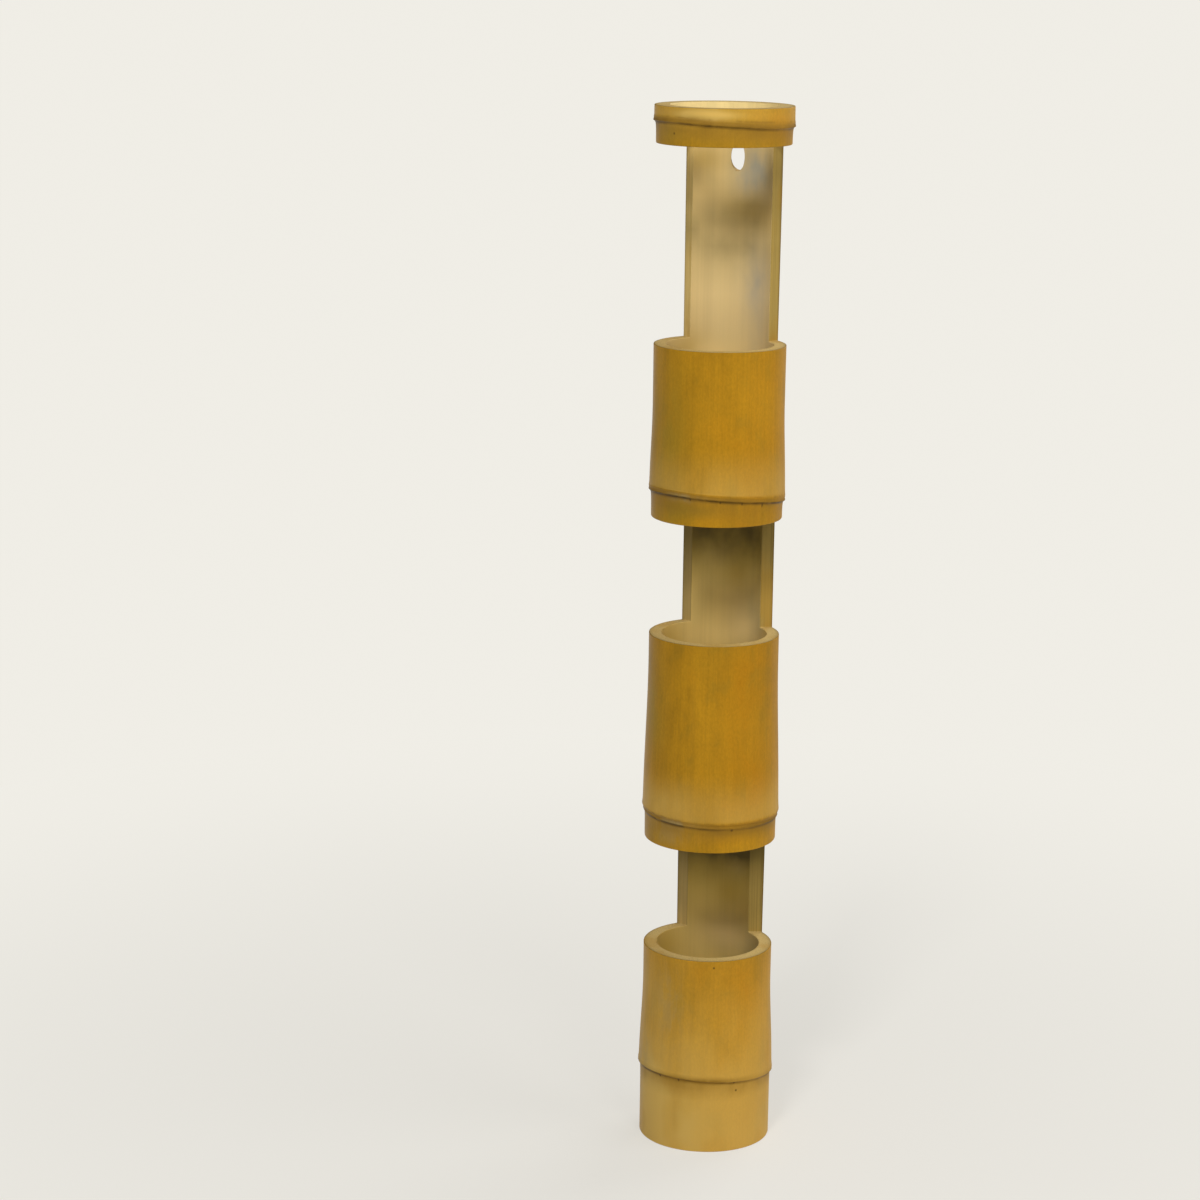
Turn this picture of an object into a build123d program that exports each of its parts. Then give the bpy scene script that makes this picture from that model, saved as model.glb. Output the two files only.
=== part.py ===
from build123d import *
import os

# A hanging or standing flower vase cut from one length of thick-walled bamboo culm.
# Three cups stand one above another, each closed by the natural wall across a node.
# The front of the culm is sawn away above each cup, so that only a back strip joins them.
# Each cup holds a lift-out copper water liner: a rolled wall soldered to a round base.
# Origin: centre of the foot, on the table. +Z up, windows open towards -Y.

# Heights of the tiers and windows, from the top of the vase down
ring_height = 21.0
upper_window_height = 111.5
upper_cup_height = 98.0
middle_window_height = 68.0
middle_cup_height = 120.5
lower_window_height = 65.0
lower_cup_height = 116.0

# Outer radius of the culm where it is sawn
mouth_radius = 39.1
ring_edge_radius = 37.9
upper_rim_radius = 37.3
upper_edge_radius = 37.2
middle_rim_radius = 37.3
middle_edge_radius = 38.0
lower_rim_radius = 37.4
foot_radius = 38.2

# Bore of the culm above each node wall, and below the lowest one
upper_bore_radius = 30.2
middle_bore_radius = 30.0
lower_bore_radius = 29.8
foot_bore_radius = 30.0

# Node walls, the natural floors of the cups
node_wall_thickness = 5.0
floor_corner_size = 2.2
ceiling_corner_size = 5.0

# Height of each node's scar lip above the sawn edge below it
ring_node_height = 11.3
upper_node_height = 12.6
middle_node_height = 14.8
lower_node_height = 40.8

# Rise of each node's plane towards +X and towards +Y, per unit length
ring_node_slopes = (-0.035, -0.018)
upper_node_slopes = (-0.048, -0.095)
middle_node_slopes = (-0.028, -0.013)
lower_node_slopes = (-0.018, -0.087)

# Radius of each node at its upper swelling and at its lower scar lip
ring_swell_radius = 39.2
ring_lip_radius = 39.6
upper_swell_radius = 38.9
upper_lip_radius = 39.0
middle_swell_radius = 39.8
middle_lip_radius = 39.2
lower_swell_radius = 39.8
lower_lip_radius = 39.9

# The ridge of a node, from its scar lip up to the swelling and down to the wall
ring_swell_height = 3.4
upper_swell_height = 3.0
middle_swell_height = 3.3
lower_swell_height = 1.7
scar_depth = 0.45
lip_thickness = 0.5
lip_flank_height = 2.4
seat_depth = 0.4
scar_seat_share = 1.3

# How far above its node each culm wall stays flared
ring_flare_height = 5.0
upper_flare_height = 48.0
middle_flare_height = 88.0
lower_flare_height = 54.0

# Back strips: angles of the cut faces from +Y, at the skin and at the bore,
# first the side towards -X and then the side towards +X
upper_strip_skin_angles = (-49.4, 46.5)
upper_strip_bore_angles = (-50.0, 50.0)
middle_strip_skin_angles = (-45.6, 49.4)
middle_strip_bore_angles = (-42.0, 46.0)
lower_strip_skin_angles = (-44.8, 44.5)
lower_strip_bore_angles = (-39.5, 38.0)

# Hanging hole, an upright oval through the upper strip, just under the ring. Its sides
# splay towards the back by a share of the depth
hang_hole_width = 7.6
hang_hole_height = 16.0
hang_hole_drop = 1.5
hang_hole_splay_share = 0.27

# Water liners
liner_bore_gap = 3.4
liner_sheet = 1.0
liner_fold_width = 0.7
liner_fold_height = 1.4
liner_base_flange = 0.6
upper_liner_height = 66.0
middle_liner_height = 66.0
lower_liner_height = 46.0

# Eased outer edges of the sawn rims and of the foot
rim_bevel = 0.6

# How far cuts run past the wall
overrun = 4.0

# Heights above the table, worked out from the tiers
lower_rim_z = lower_cup_height
middle_edge_z = lower_rim_z + lower_window_height
middle_rim_z = middle_edge_z + middle_cup_height
upper_edge_z = middle_rim_z + middle_window_height
upper_rim_z = upper_edge_z + upper_cup_height
ring_edge_z = upper_rim_z + upper_window_height
top_z = ring_edge_z + ring_height

lower_node_z = lower_node_height
middle_node_z = middle_edge_z + middle_node_height
upper_node_z = upper_edge_z + upper_node_height
ring_node_z = ring_edge_z + ring_node_height

lower_floor_z = lower_node_z + node_wall_thickness
middle_floor_z = middle_node_z + node_wall_thickness
upper_floor_z = upper_node_z + node_wall_thickness


def node_plane(z, slopes, along):
    """Plane square to a node's tilted axis, a distance along that axis from its scar lip."""
    normal = Vector(-slopes[0], -slopes[1], 1).normalized()
    centre = Vector(0, 0, z) + normal * along
    return Plane(origin=centre, x_dir=(1, 0, slopes[0]), z_dir=normal)


def culm_wall(lower_node, upper_node, high_z, wall_radius, high_radius):
    """Turn one length of the culm between two nodes, and trim it to their tilted planes.

    Over its lower node it flares down to the swelling.
    """
    with BuildPart() as wall:
        with BuildSketch(Plane.YZ):
            with BuildLine():
                if lower_node:
                    crest_z = lower_node["z"] + lower_node["swell_height"]
                    bottom_z = lower_node["z"] - lip_flank_height
                    Polyline(
                        (0, bottom_z), (lower_node["swell_radius"], bottom_z),
                        (lower_node["swell_radius"], crest_z),
                        (wall_radius, crest_z + lower_node["flare_height"]),
                        (high_radius, high_z), (0, high_z),
                        (0, bottom_z),
                    )
                else:
                    Polyline((0, 0), (wall_radius, 0), (high_radius, high_z), (0, high_z), (0, 0))
            make_face()
        revolve(axis=Axis.Z)
        if lower_node:
            split(bisect_by=lower_node["crest_plane"], keep=Keep.TOP)
        if upper_node:
            split(bisect_by=upper_node["lip_plane"].offset(-lip_thickness / 2), keep=Keep.BOTTOM)
    return wall.part


def node_ring(node):
    """Turn a node's ring about its own tilted axis: the scar band, the lip and its lower flank.

    The scar band runs on into the swelling above it, and the flank into the wall below.
    """
    seat_height = node["swell_height"] * scar_seat_share
    lip_radius = node["lip_radius"]
    scar_size = lip_radius - (node["swell_radius"] - scar_depth)
    seat_radius = lip_radius - scar_size * scar_seat_share
    lip_plane = node["lip_plane"]
    upright = Plane(origin=lip_plane.origin, x_dir=lip_plane.x_dir, z_dir=-lip_plane.y_dir)
    with BuildPart() as ring:
        with BuildSketch(upright):
            with BuildLine():
                Polyline(
                    (0, -lip_flank_height),
                    (node["below_radius"] - seat_depth, -lip_flank_height),
                    (lip_radius, -lip_thickness),
                    (lip_radius, 0),
                    (seat_radius, seat_height),
                    (0, seat_height),
                    (0, -lip_flank_height),
                )
            make_face()
        revolve(axis=Axis(lip_plane.origin, lip_plane.z_dir))
    return ring.part


def chamber(floor_z, ceiling_z, radius, floor_corner, ceiling_corner):
    """Hollow out one bore of the culm, with sloped corners where node walls close it."""
    with BuildSketch(Plane.XZ) as profile:
        with Locations((radius / 2, (floor_z + ceiling_z) / 2)):
            outline = Rectangle(radius, ceiling_z - floor_z)
        wall_corners = outline.vertices().group_by(Axis.X)[-1].sort_by(Axis.Y)
        if floor_corner > 0:
            chamfer(wall_corners[0], floor_corner)
        if ceiling_corner > 0:
            chamfer(wall_corners[-1], ceiling_corner)
    revolve(profile.sketch, axis=Axis.Z, mode=Mode.SUBTRACT)


def strip_corner(radius, angle):
    """Point of a back strip at a radius and at an angle from +Y."""
    return Vector(0, radius, 0).rotate(Axis.Z, -angle)


def ease_rim(rim_z, radius, strip_angles):
    """Bevel a cup's rim all round its open side, from one edge of the back strip to the other."""
    start = strip_corner(1, strip_angles[0])
    upright = Plane(origin=(0, 0, rim_z), x_dir=start, z_dir=start.cross(Vector(0, 0, 1)))
    with BuildSketch(upright) as bevel:
        with BuildLine():
            Polyline(
                (radius - rim_bevel, 0), (radius + overrun, 0),
                (radius + overrun, -rim_bevel - overrun), (radius - rim_bevel, 0),
            )
        make_face()
    open_angle = 360 + strip_angles[0] - strip_angles[1]
    revolve(bevel.sketch, axis=Axis.Z, revolution_arc=open_angle, mode=Mode.SUBTRACT)


def window(low_z, high_z, skin_radius, bore_radius, skin_angles, bore_angles):
    """Saw away the front and sides of the culm, and leave the back strip between two cuts."""
    reach = skin_radius + overrun
    corners = [(strip_corner(bore_radius, b), strip_corner(skin_radius, s))
               for b, s in zip(bore_angles, skin_angles)]
    (left_bore, left_skin), (right_bore, right_skin) = corners
    left_out = left_skin + (left_skin - left_bore).normalized() * overrun
    right_out = right_skin + (right_skin - right_bore).normalized() * overrun
    with BuildSketch(Plane.XY.offset(low_z)) as front:
        with BuildLine():
            Polyline(
                left_bore, left_out, (-reach, left_out.Y), (-reach, -reach),
                (reach, -reach), (reach, right_out.Y), right_out, right_bore, left_bore,
            )
        make_face()
    extrude(front.sketch, amount=high_z - low_z, mode=Mode.SUBTRACT)
    ease_rim(low_z, skin_radius, skin_angles)


def node(z, slopes, swell_height, swell_radius, lip_radius, below_radius, flare_height):
    """Sizes of one node, with its planes at the scar lip and at the swelling's crest."""
    return {
        "z": z,
        "swell_height": swell_height,
        "swell_radius": swell_radius,
        "lip_radius": lip_radius,
        "below_radius": below_radius,
        "flare_height": flare_height,
        "lip_plane": node_plane(z, slopes, 0),
        "crest_plane": node_plane(z, slopes, swell_height),
    }


lower_node = node(lower_node_z, lower_node_slopes, lower_swell_height, lower_swell_radius,
                  lower_lip_radius, foot_radius, lower_flare_height)
middle_node = node(middle_node_z, middle_node_slopes, middle_swell_height, middle_swell_radius,
                   middle_lip_radius, middle_edge_radius, middle_flare_height)
upper_node = node(upper_node_z, upper_node_slopes, upper_swell_height, upper_swell_radius,
                  upper_lip_radius, upper_edge_radius, upper_flare_height)
ring_node = node(ring_node_z, ring_node_slopes, ring_swell_height, ring_swell_radius,
                 ring_lip_radius, ring_edge_radius, ring_flare_height)

foot_wall = culm_wall(None, lower_node, lower_floor_z, foot_radius, foot_radius)
lower_wall = culm_wall(lower_node, middle_node, middle_floor_z, lower_rim_radius, middle_edge_radius)
middle_wall = culm_wall(middle_node, upper_node, upper_floor_z, middle_rim_radius, upper_edge_radius)
upper_wall = culm_wall(upper_node, ring_node, ring_node_z + node_wall_thickness,
                       upper_rim_radius, ring_edge_radius)
mouth_wall = culm_wall(ring_node, None, top_z, mouth_radius, mouth_radius)

with BuildPart() as culm:
    # The whole culm as a solid pole: lengths of wall trimmed to the nodes, and a ring at each node
    for wall in (foot_wall, lower_wall, middle_wall, upper_wall, mouth_wall):
        add(wall)
    for each_node in (lower_node, middle_node, upper_node, ring_node):
        add(node_ring(each_node))

    # The bores between the node walls; the top node is bored out
    chamber(-overrun, lower_node_z, foot_bore_radius, 0, ceiling_corner_size)
    chamber(lower_floor_z, middle_node_z, lower_bore_radius, floor_corner_size, ceiling_corner_size)
    chamber(middle_floor_z, upper_node_z, middle_bore_radius, floor_corner_size, ceiling_corner_size)
    chamber(upper_floor_z, top_z + overrun, upper_bore_radius, floor_corner_size, 0)

    # The windows
    window(lower_rim_z, middle_edge_z, lower_rim_radius, lower_bore_radius,
           lower_strip_skin_angles, lower_strip_bore_angles)
    window(middle_rim_z, upper_edge_z, middle_rim_radius, middle_bore_radius,
           middle_strip_skin_angles, middle_strip_bore_angles)
    window(upper_rim_z, ring_edge_z, upper_rim_radius, upper_bore_radius,
           upper_strip_skin_angles, upper_strip_bore_angles)

    # The hanging hole
    hole_z = ring_edge_z - hang_hole_drop - hang_hole_height / 2
    hole_sections = []
    for y in (upper_bore_radius - overrun, mouth_radius + overrun):
        half_width = hang_hole_width / 2 + hang_hole_splay_share * (y - upper_bore_radius)
        with BuildSketch(Plane.XZ.offset(-y)) as hole_section:
            with Locations((0, hole_z)):
                Ellipse(half_width, hang_hole_height / 2)
        hole_sections.append(hole_section.sketch)
    loft(hole_sections, ruled=True, mode=Mode.SUBTRACT)

    # Eased outer edges of the mouth and the foot
    level_circles = culm.edges().filter_by(GeomType.CIRCLE).filter_by(Plane.XY)
    mouth_edge = level_circles.group_by(Axis.Z)[-1].sort_by(SortBy.RADIUS)[-1]
    foot_edge = level_circles.group_by(Axis.Z)[0].sort_by(SortBy.RADIUS)[-1]
    chamfer([mouth_edge, foot_edge], rim_bevel)

    # The culm is one length of bamboo. Its solid is kept as the lengths that its sawn levels mark out
    for sawn_z in (lower_rim_z, middle_edge_z, middle_rim_z, upper_edge_z, upper_rim_z, ring_edge_z):
        split(bisect_by=Plane.XY.offset(sawn_z), keep=Keep.BOTH)
culm.part.label = "culm"


def liner_wall(floor_z, bore_radius, height):
    """Rolled copper wall with a folded rim, standing on its base."""
    radius = bore_radius - liner_bore_gap
    low = floor_z + liner_sheet
    high = floor_z + height
    with BuildSketch(Plane.XZ) as profile:
        with Locations((radius - liner_sheet / 2, (low + high) / 2)):
            Rectangle(liner_sheet, high - low)
        with Locations((radius + liner_fold_width / 2, high - liner_fold_height / 2)):
            Rectangle(liner_fold_width, liner_fold_height)
    revolve(profile.sketch, axis=Axis.Z)


def liner_base(floor_z, bore_radius):
    """Round base with a narrow soldered flange, flat on the node wall."""
    with BuildSketch(Plane.XY.offset(floor_z)) as disc:
        Circle(bore_radius - liner_bore_gap + liner_base_flange)
    extrude(disc.sketch, amount=liner_sheet)


with BuildPart() as upper_liner_wall:
    liner_wall(upper_floor_z, upper_bore_radius, upper_liner_height)
upper_liner_wall.part.label = "upper_liner_wall"

with BuildPart() as middle_liner_wall:
    liner_wall(middle_floor_z, middle_bore_radius, middle_liner_height)
middle_liner_wall.part.label = "middle_liner_wall"

with BuildPart() as lower_liner_wall:
    liner_wall(lower_floor_z, lower_bore_radius, lower_liner_height)
lower_liner_wall.part.label = "lower_liner_wall"

with BuildPart() as upper_liner_base:
    liner_base(upper_floor_z, upper_bore_radius)
upper_liner_base.part.label = "upper_liner_base"

with BuildPart() as middle_liner_base:
    liner_base(middle_floor_z, middle_bore_radius)
middle_liner_base.part.label = "middle_liner_base"

with BuildPart() as lower_liner_base:
    liner_base(lower_floor_z, lower_bore_radius)
lower_liner_base.part.label = "lower_liner_base"

os.makedirs("parts", exist_ok=True)
for piece in (culm, upper_liner_wall, middle_liner_wall, lower_liner_wall,
              upper_liner_base, middle_liner_base, lower_liner_base):
    export_step(piece.part, f"parts/{piece.part.label}.step")
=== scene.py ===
import math

import bpy
import numpy as np
from bpy.props import FloatProperty, FloatVectorProperty, PointerProperty
from mathutils import Matrix, Vector


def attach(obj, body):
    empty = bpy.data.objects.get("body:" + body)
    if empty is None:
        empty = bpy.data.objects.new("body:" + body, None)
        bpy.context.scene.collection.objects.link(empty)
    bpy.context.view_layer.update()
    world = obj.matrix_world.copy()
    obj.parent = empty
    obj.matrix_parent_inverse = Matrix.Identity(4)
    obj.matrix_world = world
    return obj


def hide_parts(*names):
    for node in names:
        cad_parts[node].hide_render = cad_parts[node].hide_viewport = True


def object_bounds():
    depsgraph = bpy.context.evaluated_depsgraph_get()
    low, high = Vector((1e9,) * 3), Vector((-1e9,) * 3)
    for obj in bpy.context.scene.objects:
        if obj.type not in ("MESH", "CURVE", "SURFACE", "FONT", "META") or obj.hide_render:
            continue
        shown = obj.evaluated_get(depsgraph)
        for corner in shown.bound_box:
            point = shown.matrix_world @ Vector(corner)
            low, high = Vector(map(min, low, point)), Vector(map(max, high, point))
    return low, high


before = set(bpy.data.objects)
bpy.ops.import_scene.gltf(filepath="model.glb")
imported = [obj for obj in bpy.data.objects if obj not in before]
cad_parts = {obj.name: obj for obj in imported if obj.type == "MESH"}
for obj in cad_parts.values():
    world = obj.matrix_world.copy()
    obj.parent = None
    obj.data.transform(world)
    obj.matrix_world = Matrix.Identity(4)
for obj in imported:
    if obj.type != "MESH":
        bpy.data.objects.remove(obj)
CAD_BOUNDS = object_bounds()

bl_info = {
    "name": "Bamboo Tier Vase",
    "version": (1, 0, 0),
    "blender": (4, 5, 0),
    "location": "3D View > Sidebar > Bamboo Vase",
    "description": "Builds a bamboo flower vase with sawn windows and copper water liners",
    "category": "Add Mesh",
}

MM = 0.001

# Sawn heights of the culm in metres, from the foot up
TOP_Z = CAD_BOUNDS[1][2]
LOWER_RIM_Z = 0.116
MIDDLE_EDGE_Z = 0.181
MIDDLE_RIM_Z = 0.3015
UPPER_EDGE_Z = 0.3695
UPPER_RIM_Z = 0.4675
RING_EDGE_Z = 0.579

# Nodes from the foot up: height of the scar lip, rise of the node's plane towards +X and +Y, radius
# of the swelling, of the scar lip, of the wall just below and of the plain wall above, height over
# which the wall above stays flared, height of the swelling's crest above the lip, and depth of the
# groove between them
NODES = (
    dict(z=0.0408, slope=(-0.018, -0.087), swell=0.0396, lip=0.0396, below=0.0382, above=0.0374,
         flare=0.054, crest=0.0017, groove=0.0),
    dict(z=0.1958, slope=(-0.028, -0.013), swell=0.0397, lip=0.039, below=0.038, above=0.0373,
         flare=0.088, crest=0.0033, groove=0.0002),
    dict(z=0.3821, slope=(-0.048, -0.095), swell=0.0388, lip=0.0388, below=0.0373, above=0.0373,
         flare=0.048, crest=0.003, groove=0.00016),
    dict(z=0.5903, slope=(-0.035, -0.018), swell=0.0391, lip=0.0395, below=0.0379, above=0.039,
         flare=0.01, crest=0.0034, groove=0.0002),
)
NODE_HEIGHTS = np.array([node["z"] for node in NODES])

# The skin's waves are drawn in by this much, so that they stay inside the solids
SKIN_INSET = 1.2e-4

# Height above and below a node over which the rows of the mesh lean with it
NODE_LEAN_UP = 0.0085
NODE_LEAN_DOWN = 0.0105

# Windows from the foot up: sawn heights, and angles from +Y of the back strip's two cut faces,
# in degrees, at the skin and at the bore
WINDOWS = (
    dict(low=LOWER_RIM_Z, high=MIDDLE_EDGE_Z, skin=(-44.8, 44.5), bore=(-39.5, 38.0)),
    dict(low=MIDDLE_RIM_Z, high=UPPER_EDGE_Z, skin=(-45.6, 49.4), bore=(-42.0, 46.0)),
    dict(low=UPPER_RIM_Z, high=RING_EDGE_Z, skin=(-49.4, 46.5), bore=(-50.0, 50.0)),
)

# Chambers of the bore from the foot up: floor, ceiling and radius; None is an open end
CHAMBERS = (
    dict(floor=None, ceiling=0.0408, radius=0.03),
    dict(floor=0.0458, ceiling=0.1958, radius=0.0298),
    dict(floor=0.2008, ceiling=0.3821, radius=0.03),
    dict(floor=0.3871, ceiling=None, radius=0.0302),
)
FLOOR_CORNER = 0.0022
CEILING_CORNER = 0.005
CEILING_RISE = 0.0015

# Hanging hole through the upper strip, an upright oval whose sides splay towards the back
HOLE_WIDTH = 0.0076
HOLE_HEIGHT = 0.016
HOLE_SPLAY = 0.27
HOLE_Z = RING_EDGE_Z - 0.0015 - HOLE_HEIGHT / 2

# Water liners: the chamber that each stands in and its height
LINERS = {
    "upper": dict(chamber=CHAMBERS[3], height=0.066),
    "middle": dict(chamber=CHAMBERS[2], height=0.066),
    "lower": dict(chamber=CHAMBERS[1], height=0.046),
}
LINER_GAP = 0.0034
SHEET = 0.001
HEM_WIDTH = 0.0007
HEM_HEIGHT = 0.0014
BASE_FLANGE = 0.0006
SEAM = 1.2e-4
LINER_COLUMNS = 160

# Patches of the culm's surfaces by kind: angle from +Y in degrees, height in millimetres, spread in
# degrees and in millimetres, and strength
PATCHES = {
    # Water stains and painted shadow: the wide entries near the top of the lower and middle windows paint
    # the shadow under the section above, and the rest darken shaded parts of the windows, such as the
    # ring's shadow in the upper one
    "stain_and_shadow": (
        (27, 542.5, 20, 6, 0.28), (30, 532, 16, 4, 0.22), (-8, 536, 20, 7, 0.14),
        (-2, 519, 50, 7.5, 0.26), (-10, 515, 44, 18, 0.2), (-50, 529, 14, 8, 0.4),
        (-10, 325, 12, 5, 0.06), (-36, 307, 14, 12, 0.12), (-42, 128, 10, 20, 0.08),
        (8, 534, 44, 10, 0.2), (-26, 318, 16, 14, 0.16), (44, 565, 10, 12, 0.45), (0, 357, 90, 20, 1),
        (18, 342, 30, 7, 0.12), (0, 174, 90, 20, 1), (0, 166, 90, 9, 0.4), (0, 152, 90, 11, 0.2),
    ),
    # Orange patches and painted light of a warmer colour: on the skin's right side, and on the left inner
    # sides of the bore
    "warm_and_lit": (
        (128, 405, 30, 30, 0.55), (118, 455, 22, 16, 0.3), (128, 284, 26, 20, 0.75),
        (126, 224, 22, 22, 0.6), (134, 98, 26, 24, 0.6), (172, 106, 10, 12, 0.45),
        (112, 24, 24, 16, 0.4), (120, 585, 30, 14, 0.4), (285, 106, 28, 14, 0.95),
        (284, 292, 26, 12, 0.75), (300, 460, 34, 12, 0.6), (-38, 568, 20, 7, 0.55),
        (-48, 480, 12, 30, 0.15), (-44, 456, 16, 10, 0.25), (142, 250, 16, 30, 0.35),
        (142, 372, 26, 7, 0.5), (146, 208, 20, 6, 0.35), (116, 592, 20, 6, 0.55),
        (156, 584, 24, 4, 0.45),
    ),
    # Greener patches that are also painted shade: on the skin's left side, and near the top of the
    # windows inside
    "olive_and_shade": (
        (225, 415, 26, 50, 0.7), (232, 270, 22, 30, 0.55), (222, 586, 20, 10, 0.5),
        (224, 188, 26, 8, 0.5), (232, 30, 18, 24, 0.45), (205, 375, 20, 7, 0.35),
        (226, 373, 16, 6, 0.3), (200, 378.5, 9, 4.5, 0.55), (16, 540.5, 28, 7, 0.42),
        (10, 330, 16, 13, 0.38), (10, 138, 18, 9, 0.38), (0, 165, 70, 30, 0.22),
        (6, 348, 60, 20, 0.18), (204, 420, 14, 34, 0.3), (226, 248, 14, 20, 0.35),
        (186, 379, 22, 3, 0.5),
    ),
    # Painted light and highlights on the skin: the entries near 596 mm paint the ring collar's highlight,
    # the others lighten the skin low on the culm
    "painted_light_skin": (
        (180, 596, 16, 2.2, 1), (185, 596.6, 20, 2.6, 1.1), (215, 20, 34, 36, 0.9),
        (220, 90, 24, 24, 0.45), (205, 206, 30, 11, 0.55),
    ),
    # Darker patches: painted shade round the node ridges, under and just above each scar lip, and two
    # thin upright dark streaks
    "dark": (
        (152, 193.2, 30, 3, 0.6), (134, 374, 24, 6, 0.45), (150, 585, 50, 2.2, 0.22),
        (190, 39.5, 34, 3.2, 0.35), (148, 43.4, 22, 1.8, 0.35), (202, 378.5, 30, 2, 0.35),
        (218, 387.8, 16, 1.8, 0.5), (222, 198.6, 18, 1.8, 0.32), (220, 593, 16, 1.6, 0.3),
        (140, 592.5, 26, 1.4, 0.25), (181.7, 257, 2.2, 28, 0.16), (191, 20, 2.2, 10, 0.16),
        (204, 43, 20, 2, 0.35), (172, 43.8, 22, 2, 0.7), (192, 593.6, 22, 1.8, 0.55),
        (204, 587.6, 15, 1.8, 0.3),
    ),
    # Grey water marks and painted cool shade on the right of the bore
    "grey": (
        (22, 566, 28, 15, 0.45), (26, 558, 24, 13, 1), (32, 508, 22, 15, 0.5), (26, 490, 18, 30, 0.5),
        (34, 305, 26, 20, 0.45), (60, 106, 60, 16, 0.5),
    ),
    # Painted light on shaded parts of the bore
    "painted_light": (
        (-40, 550, 18, 7, 0.85), (8, 112, 24, 8.5, 0.75), (20, 300, 20, 9, 0.6), (20, 156, 12, 6, 0.3),
        (-14, 342, 18, 8, 0.22), (10, 314, 18, 7, 0.3), (16, 475, 20, 25, 0.28),
        (-18, 456, 34, 10, 0.95),
    ),
    "bloom": (
        (200, 86, 16, 24, 0.24), (204, 196, 14, 3, 0.45), (190, 196.5, 14, 2.4, 0.3),
        (196, 385, 16, 2.2, 0.9), (232, 52, 12, 13, 0.35), (205, 189, 22, 4.5, 0.35),
    ),
    "worn": (
        (122, 39.5, 24, 6, 0.9), (128, 195, 26, 6, 0.65), (128, 589, 36, 6, 0.75),
        (214, 591, 14, 6, 0.6), (146, 384.5, 30, 6, 0.4), (166, 43.8, 18, 6, 0.5),
        (160, 196, 50, 6, 0.3),
    ),
    # A painted highlight on the ring's collar
    "painted_highlight": (
        (176, 596.7, 20, 2.2, 0.95),
    ),
}

# Dark dots of the skin and short cracks that hang from the scar lines: angle from +Y in degrees,
# height, distance from the axis and half width in millimetres, and how many times taller than wide
SPOTS = (
    (211, 585.7, 37.5, 0.9, 1), (158.8, 112.2, 37.5, 0.7, 1), (136.4, 36.9, 38.1, 0.7, 1),
    (188, 384.8, 37.8, 0.6, 1.6), (162, 383.8, 37.8, 0.6, 1.4), (143, 382.8, 37.8, 0.6, 1.8),
    (122.6, 381, 37.7, 0.6, 2.6), (146, 194.6, 38.2, 0.8, 1.2), (207, 43.3, 38.7, 0.6, 2),
    (188, 43.2, 38.7, 0.6, 2.2), (139, 42.1, 38.7, 0.6, 1.4),
)

# The culm's mesh: columns round it, layers through its wall, rings across a node wall, steps
# between its rows, and how far past a window or the hanging hole its columns lean
COLUMNS = 192
LAYERS = 6
FLOOR_RINGS = 10
FINE_STEP = 0.00035
COARSE_STEP = 0.0046
HOLE_STEP = 0.002
WINDOW_FADE = 0.012
HOLE_FADE = 0.004
FULL_TURN = 2 * math.pi

# Heights closer than this are the same
NEARLY = 1e-7

# The photograph's camera: azimuth of its place, turn from the vase's axis, tilt down and roll
CAMERA_AZIMUTH = 15.0
CAMERA_YAW = 2.181
CAMERA_DOWN = 12.515
CAMERA_ROLL = 0.733

# Lamps stand this far from a point at this height on the vase's axis
LAMP_REACH = 2.2
LAMP_AIM_Z = 0.4
FLOOR_REACH = 60.0

# Faces of the culm by surface, in the order of its material slots
SKIN, CUT, BORE, FLOOR = range(4)


def smooth(start, end, value):
    """Rise from 0 at start to 1 at end with a level tangent at both: t * t * (3 - 2 t)."""
    t = np.clip((value - start) / (end - start), 0.0, 1.0)
    return t * t * (3.0 - 2.0 * t)


def waves(angle, parts):
    """Sum of sines round the culm: amplitude * sin(count * angle + phase) for each part."""
    return sum(size * np.sin(count * angle + phase) for count, size, phase in parts)


def closed_ends(chamber):
    """A chamber's node walls: height, radius of the corner and 1 at a floor or -1 at a ceiling."""
    ends = ((chamber["floor"], FLOOR_CORNER, 1), (chamber["ceiling"], CEILING_CORNER, -1))
    return [end for end in ends if end[0] is not None]


def row_heights():
    """Heights of the culm's rows: each sawn edge, floor, ceiling and node, with FINE_STEP between
    rows beside a node, HOLE_STEP at the hanging hole and COARSE_STEP elsewhere."""
    keys = {0.0, TOP_Z, HOLE_Z - HOLE_HEIGHT / 2, HOLE_Z + HOLE_HEIGHT / 2}
    for window in WINDOWS:
        keys |= {window["low"], window["high"]}
    for chamber in CHAMBERS:
        for end, corner, inward in closed_ends(chamber):
            keys |= {end, end + inward * corner}
    for node in NODES:
        keys |= {node["z"], node["z"] + node["crest"]}
        keys |= {node["z"] + NODE_LEAN_UP, node["z"] - NODE_LEAN_DOWN * 0.5}
    keys = sorted(keys)
    rows = []
    for low, high in zip(keys[:-1], keys[1:]):
        middle = (low + high) / 2
        near = np.abs(middle - NODE_HEIGHTS - 0.001).min()
        step = HOLE_STEP if abs(middle - HOLE_Z) < HOLE_HEIGHT / 2 else COARSE_STEP
        step = FINE_STEP if near < 0.0042 else FINE_STEP * 2.5 if near < 0.008 else step
        count = max(1, round((high - low) / step))
        rows.append(np.linspace(low, high, count, endpoint=False))
    return np.append(np.concatenate(rows), TOP_Z)


def nearest_node(height):
    """Index of the node nearest to each height."""
    return np.abs(height[..., None] - NODE_HEIGHTS).argmin(-1)


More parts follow.
